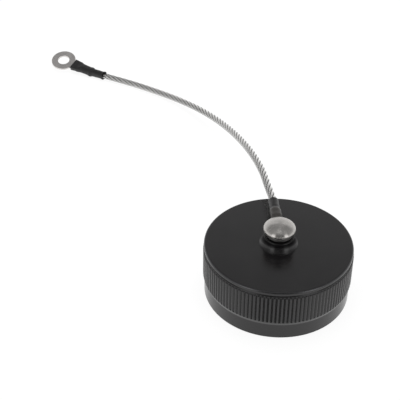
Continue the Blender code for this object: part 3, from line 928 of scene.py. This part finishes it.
def make_sleeve(name, spots, line, place, ragged, seed, material):
    """A tube along a line of points in the terminal's own frame.

    A spot is (along, half width, half height, squareness, wall), for what the tube is shrunk on.
    """
    spots = [(along, wide + SLEEVE_GAP, high + SLEEVE_GAP, squareness, wall)
             for along, wide, high, squareness, wall in spots]
    lengths = [0.0]
    for before, after in zip(line, line[1:]):
        lengths.append(lengths[-1] + (after - before).length)
    start = spots[0][0]
    total = spots[-1][0] - start
    rows = int(total / SLEEVE_ROW)
    shape = bmesh.new()
    stretched = shape.verts.layers.float.new("stretched")

    def noise_round(angle, size, height):
        return noise.noise(Vector((math.cos(angle) * size, math.sin(angle) * size, height)))

    skins = []
    for skin in ("outside", "inside"):
        rings = []
        for row in range(rows + 1):
            share = row / rows
            ring = []
            for column in range(SLEEVE_COLUMNS):
                angle = 2 * math.pi * column / SLEEVE_COLUMNS
                cut = noise_round(angle, 1.3, seed) + 0.5 * noise_round(angle, 4, seed + 7)
                tail = share ** 8
                head = (1 - share) ** 10
                along = start + total * share + cut * (ragged * tail + HEAD_CUT * head)
                half_width, half_height, squareness, wall = sleeve_at(spots, along)
                grown = 0.0
                if skin == "outside":
                    squareness = max(2.0, squareness * OUTSIDE_ROUNDING)
                    lip = min(share, 1 - share) * total
                    grown = wall * min(1.0, LIP_SHARE + lip / END_REACH)
                    short = noise_round(angle, 1.1, along * WRINKLES_ALONG + seed)
                    long = noise_round(angle, 2.6, along * LONG_WRINKLES_ALONG + seed)
                    grown += WRINKLE * short + LONG_WRINKLE * long
                c, s = math.cos(angle), math.sin(angle)
                across = (half_width + grown) * math.copysign(abs(c) ** (2 / squareness), c)
                high = (half_height + grown) * math.copysign(abs(s) ** (2 / squareness), s)
                reach = along - start
                piece = max(i for i in range(len(line) - 1) if lengths[i] <= max(reach, 0.0))
                way = (line[piece + 1] - line[piece]).normalized()
                centre = line[piece] + way * (reach - lengths[piece])
                corner = shape.verts.new(place @ (centre + Vector((0, across, high))))
                corner[stretched] = (wall - SLEEVE_TAIL_WALL) / (SLEEVE_WALL - SLEEVE_TAIL_WALL)
                ring.append(corner)
            rings.append(ring)
        skins.append(rings)
    outer, inner = skins
    loops = outer + inner[::-1] + outer[:1]
    for first, second in zip(loops, loops[1:]):
        for index in range(SLEEVE_COLUMNS):
            after = (index + 1) % SLEEVE_COLUMNS
            face = shape.faces.new((first[index], second[index], second[after], first[after]))
            face.smooth = True
    bmesh.ops.recalc_face_normals(shape, faces=shape.faces)
    mesh = bpy.data.meshes.new(name)
    shape.to_mesh(mesh)
    shape.free()
    mesh.materials.append(material)
    return add_object(name, mesh)


def make_shrink_tube(name, over_barrel):
    """Black tube, which is paler where it is stretched over a barrel."""
    material, tree, shader = start_material(name, IOR=1.5, Metallic=0.0)
    colour = mix_colour(mark_on(tree, "stretched"), (0.010, 0.0096, 0.0098, 1.0), over_barrel)
    grain = use_grain(shader, Colour=colour, Colour_Spread=0.25, Roughness=0.40,
                      Roughness_Spread=0.08, Grain_Size=0.00014, Patch_Size=0.0018)
    roughen(shader, (grain, 0.000012, 0.5))
    return material


near_tube = make_shrink_tube("near_shrink_tube", (0.042, 0.038, 0.035, 1.0))
far_tube = make_shrink_tube("far_shrink_tube", (0.016, 0.0155, 0.016, 1.0))
ROPE_RADIUS = ROPE_DIAMETER / 2
near_spots = [
    (0.0059, 0.00125, 0.00065, 4.0, SLEEVE_WALL),
    (0.0070, 0.00125, 0.00065, 4.0, SLEEVE_WALL),
    (0.0082, 0.00125, 0.00110, 3.4, SLEEVE_WALL),
    (0.0110, 0.00125, 0.00122, 3.2, SLEEVE_WALL),
    (0.0122, ROPE_RADIUS, ROPE_RADIUS, 2.0, SLEEVE_TAIL_WALL),
    (0.0172, ROPE_RADIUS, ROPE_RADIUS, 2.0, SLEEVE_TAIL_WALL),
]
near_line = [Vector((0.0059, 0, 0)), Vector((0.0172, 0, 0))]
near_sleeve = make_sleeve("near_shrink_sleeve", near_spots, near_line, near_turn, 0.0002, 3.0,
                          near_tube)

FAR_RISE = 6.9
FAR_ROLL = 16.0
FAR_BARREL_END = 0.0151
far_turn = Matrix.Rotation(far_way + math.pi, 4, "Z")
far_turn = far_turn @ Matrix.Rotation(math.radians(FAR_RISE), 4, "Y")
far_turn = far_turn @ Matrix.Rotation(math.radians(FAR_ROLL), 4, "X")
far_eye = far_bend - far_turn @ Vector((FAR_BARREL_END + SEAT_GAP, 0, 0))
far_place = Matrix.Translation(far_eye) @ far_turn
far_spots = [
    (0.0053, 0.00205, 0.00045, 8.0, SLEEVE_WALL),
    (0.0080, 0.00190, 0.00045, 6.0, SLEEVE_WALL),
    (0.0105, 0.00155, 0.00085, 3.0, SLEEVE_WALL),
    (0.0138, 0.00140, 0.00105, 2.4, SLEEVE_WALL),
    (0.0152, 0.00165, 0.00120, 2.4, SLEEVE_WALL),
    (0.0166, ROPE_RADIUS, ROPE_RADIUS, 2.0, SLEEVE_TAIL_WALL),
    (0.0206, ROPE_RADIUS, ROPE_RADIUS, 2.0, SLEEVE_TAIL_WALL),
    (0.0220, ROPE_RADIUS + 0.0002, ROPE_RADIUS + 0.0002, 2.0, SLEEVE_TAIL_WALL),
]
far_line = [Vector((0.0053, 0, 0)), Vector((0.0154, 0, 0)),
            far_place.inverted() @ Vector(FAR_MOUTH)]
far_sleeve = make_sleeve("far_shrink_sleeve", far_spots, far_line, far_place, 0.00055, 11.0,
                         far_tube)

for sleeve, node in ((near_sleeve, "near_sleeve"), (far_sleeve, "far_sleeve")):
    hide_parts(node)
    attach(sleeve, "lanyard")


# RIVET
# A stainless shoulder rivet. Its domed head holds the near terminal, which turns on its
# shoulder; its shank goes down through the boss and is set over a washer inside the cap.

HEAD_RADIUS = 0.00533
HEAD_BOTTOM = 0.0247
HEAD_RIM = 0.0006
HEAD_UNDERCUT = 0.0005
DOME_RISE = 0.0024
DOME_SQUARENESS = 2.15
DOME_ROWS = 26
SHOULDER_RADIUS = 0.0025
SHOULDER_BOTTOM = 0.0231
SHANK_RADIUS = 0.0016
TAIL_TOP = 0.0155
TAIL_BOTTOM = 0.0142
TAIL_RADIUS = 0.0029
RIVET_COLUMNS = 128


def make_satin_steel():
    """Steel polished while it turned, so that highlights stretch outwards from the axis."""
    material, tree, shader = start_material("satin_stainless", Metallic=1.0, Anisotropic=0.95,
                                            Anisotropic_Rotation=0.25)
    grain = use_grain(shader, Colour=(0.56, 0.54, 0.52, 1.0), Colour_Spread=0.14, Roughness=0.24,
                      Roughness_Spread=0.06, Grain_Size=0.00016, Patch_Size=0.0016)
    lines = use_group(tree, turning_lines_group, Spacing=0.00006)
    roughen(shader, (lines, 0.000004, 0.3), (grain, 0.000006, 0.3))
    return material


def make_rivet_outline():
    rim_top = HEAD_BOTTOM + HEAD_RIM
    points = [(0.0, TAIL_BOTTOM, RIVET_COLUMNS), (0.0008, TAIL_BOTTOM, RIVET_COLUMNS)]
    points += outline_of([
        (0.001, TAIL_BOTTOM, 0),
        (TAIL_RADIUS, TAIL_BOTTOM, 0.0005),
        (TAIL_RADIUS, TAIL_TOP, 0.0003),
        (SHANK_RADIUS, TAIL_TOP, 0.0001),
        (SHANK_RADIUS, SHOULDER_BOTTOM, 0.0001),
        (SHOULDER_RADIUS, SHOULDER_BOTTOM, 0.0001),
        (SHOULDER_RADIUS, HEAD_BOTTOM, 0.0001),
        (HEAD_RADIUS - HEAD_UNDERCUT, HEAD_BOTTOM, 0.00015),
        (HEAD_RADIUS, rim_top, 0),
    ], RIVET_COLUMNS, segments=4)
    for row in range(1, DOME_ROWS):
        angle = math.pi / 2 * row / DOME_ROWS
        radius = HEAD_RADIUS * math.cos(angle) ** (2 / DOME_SQUARENESS)
        height = DOME_RISE * math.sin(angle) ** (2 / DOME_SQUARENESS)
        points.append((radius, rim_top + height, RIVET_COLUMNS))
    points.append((0.0, rim_top + DOME_RISE, RIVET_COLUMNS))
    return points


satin_steel = make_satin_steel()
domed_rivet = turn_piece("domed_rivet", make_rivet_outline(), satin_steel)
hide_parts("rivet")


# INNER WASHER
# A plain punched stainless washer that spreads the set tail of the rivet on the end wall.

WASHER_RADIUS = 0.0046
WASHER_TOP = 0.0166
WASHER_BOTTOM = 0.0158

washer_outline = outline_of([
    (SHANK_HOLE_RADIUS, WASHER_BOTTOM, 0.00005),
    (WASHER_RADIUS, WASHER_BOTTOM, 0.00018),
    (WASHER_RADIUS, WASHER_TOP, 0.00005),
    (SHANK_HOLE_RADIUS, WASHER_TOP, 0.00015),
], 96)
punched_washer = turn_piece("punched_washer", washer_outline + washer_outline[:1], satin_steel)
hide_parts("inner_washer")
for piece in (domed_rivet, punched_washer):
    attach(piece, "cap")


# GASKET
# A flat ring of dark grey silicone rubber in the seal bore, on which the connector's shell
# closes. It is moulded, with a matt skin.

GASKET_OUTSIDE = 0.0191
GASKET_INSIDE = 0.0156
GASKET_TOP = 0.0166
GASKET_BOTTOM = 0.015

silicone = make_grained(
    "grey_silicone", 0.00001, 0.5, {"IOR": 1.42, "Metallic": 0.0},
    Colour=(0.08, 0.08, 0.085, 1.0), Colour_Spread=0.12, Roughness=0.72, Roughness_Spread=0.05,
    Grain_Size=0.0001, Patch_Size=0.004)
gasket_outline = outline_of([
    (GASKET_INSIDE, GASKET_BOTTOM, 0.00025),
    (GASKET_OUTSIDE, GASKET_BOTTOM, 0.00025),
    (GASKET_OUTSIDE, GASKET_TOP, 0.00015),
    (GASKET_INSIDE, GASKET_TOP, 0.00015),
], 192)
moulded_gasket = turn_piece("moulded_gasket", gasket_outline + gasket_outline[:1], silicone)
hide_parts("gasket")
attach(moulded_gasket, "cap")


# STUDIO
# The product photo's set: a white table, a white wall behind, soft light from above, two soft
# boxes in front and a dark card between them. The table is white in the picture and in
# reflections, and keeps a light shadow.

FOCAL_LENGTH = 90.0
SENSOR_WIDTH = 36.0
CAMERA_PLACE = (-0.02587, -0.25325, 0.22801)
CAMERA_PITCH = 37.05
CAMERA_ROLL = 0.31
PURE_WHITE = (1.0, 1.0, 1.0, 1.0)
TABLE_HALF = 6
TABLE_DROP = 0.00005
TABLE_WHITE = (0.8, 0.8, 0.8, 1.0)
TABLE_SHADED = (0.16, 0.16, 0.16, 1.0)
TABLE_GLOW = 0.90
CARD_LOW = (-0.09, -0.165, 0)
CARD_HIGH = (0.05, -0.165, 0.19)
GAP_STRENGTH = 0.17
CEILING_STRENGTH = 0.36

camera_data = bpy.data.cameras.new("camera")
camera_data.lens = FOCAL_LENGTH
camera_data.sensor_width = SENSOR_WIDTH
camera_data.clip_start = 0.01
camera_data.clip_end = 50.0
camera = add_object("camera", camera_data)
look = Matrix.Rotation(math.radians(90 - CAMERA_PITCH), 4, "X")
look = look @ Matrix.Rotation(math.radians(CAMERA_ROLL), 4, "Z")
camera.matrix_world = Matrix.Translation(CAMERA_PLACE) @ look
bpy.context.scene.camera = camera


def add_sheet(name, low, high):
    """A flat face of the set, between two opposite corners."""
    corners = [low, (high[0], *low[1:]), high, (low[0], *high[1:])]
    mesh = bpy.data.meshes.new(name)
    mesh.from_pydata(corners, [], [(0, 1, 2, 3)])
    return add_object(name, mesh)


table = add_sheet("table", (-TABLE_HALF, -TABLE_HALF, 0), (TABLE_HALF, TABLE_HALF, 0))
table.location.z = -TABLE_DROP

table_white = bpy.data.materials.new("table_white")
table_white.use_nodes = True
tree = table_white.node_tree
tree.nodes.clear()
path = outputs_of(tree.nodes.new("ShaderNodeLightPath"))
facing = outputs_of(tree.nodes.new("ShaderNodeNewGeometry"))
lit = add_node(tree, "ShaderNodeBsdfDiffuse", {"Color": TABLE_WHITE})
part_lit = add_node(tree, "ShaderNodeBsdfDiffuse", {"Color": TABLE_SHADED})
glow = add_node(tree, "ShaderNodeEmission", {"Color": PURE_WHITE, "Strength": TABLE_GLOW})
bright = add_node(tree, "ShaderNodeAddShader", {0: part_lit, 1: glow})
seen = path["Is Camera Ray"] + path["Is Glossy Ray"]
seen = (seen + path["Is Transmission Ray"]).clamped()
shown = add_node(tree, "ShaderNodeMixShader", {0: seen, 1: lit, 2: bright})
clear = add_node(tree, "ShaderNodeBsdfTransparent")
sided = add_node(tree, "ShaderNodeMixShader", {0: facing["Backfacing"], 1: shown, 2: clear})
add_node(tree, "ShaderNodeOutputMaterial", {"Surface": sided})
table.data.materials.append(table_white)

card = add_sheet("black_card", CARD_LOW, CARD_HIGH)
card.visible_camera = False
card.visible_diffuse = False
card.visible_shadow = False
card_grey = start_material("card_grey", Base_Color=(0.22, 0.22, 0.22, 1.0), Roughness=0.9)[0]
card.data.materials.append(card_grey)

sky = bpy.data.worlds.new("studio")
sky.use_nodes = True
tree = sky.node_tree
tree.nodes.clear()
direction = add_node(tree, "ShaderNodeTexCoord", output="Generated")
x, y, up = split(direction)
level = length_of(add_node(tree, "ShaderNodeCombineXYZ", {"X": x, "Y": y}))
turn = y / (level + 0.0001)
# Up is the sine of the height over the horizon. Turn is 1 towards the back wall and -1 towards
# the camera, where the room has a dark gap. The walls darken upwards, to a grey ceiling.
back_wall = smooth_step(up, 0.05, 0.5, 1.0, 0.70) * smooth_step(up, 0.56, 0.70, 1.0, 0.40)
side_wall = smooth_step(up, 0.30, 0.50, 0.80, 0.34)
brightness = blend(smooth_step(turn, 0.35, 0.8), side_wall, back_wall)
gap = smooth_step(turn, -0.80, -0.93) * smooth_step(up, 0.93, 0.80)
brightness = blend(gap, brightness, GAP_STRENGTH)
brightness = blend(smooth_step(up, 0.86, 0.95), brightness, CEILING_STRENGTH)
walls = add_node(tree, "ShaderNodeBackground", {"Color": PURE_WHITE, "Strength": brightness})
add_node(tree, "ShaderNodeOutputWorld", {"Surface": walls})
bpy.context.scene.world = sky


def hang_light(name, azimuth, elevation, distance, size, watts):
    """A soft box aimed at the cap. Azimuth 0 is the camera's side, and 90 is the right."""
    lamp = bpy.data.lights.new(name, "AREA")
    lamp.shape = "RECTANGLE"
    lamp.size, lamp.size_y = size
    lamp.energy = watts
    light = add_object(name, lamp)
    turn, rise = math.radians(azimuth), math.radians(elevation)
    level = math.cos(rise)
    back = Vector((math.sin(turn) * level, -math.cos(turn) * level, math.sin(rise)))
    light.location = back * distance
    light.rotation_mode = "QUATERNION"
    light.rotation_quaternion = back.to_track_quat("Z", "Y")
    return light


hang_light("left_soft_box", -45, 26, 0.85, (0.32, 0.7), 0.5)
hang_light("right_soft_box", 45, 26, 0.85, (0.32, 0.7), 0.54)
hang_light("overhead_soft_box", 180, 86, 1.0, (0.26, 0.22), 0.11)
fill = hang_light("fill", 180, 80, 1.2, (0.9, 0.9), 6.0)
fill.visible_glossy = False

bpy.context.scene.view_settings.view_transform = "Standard"
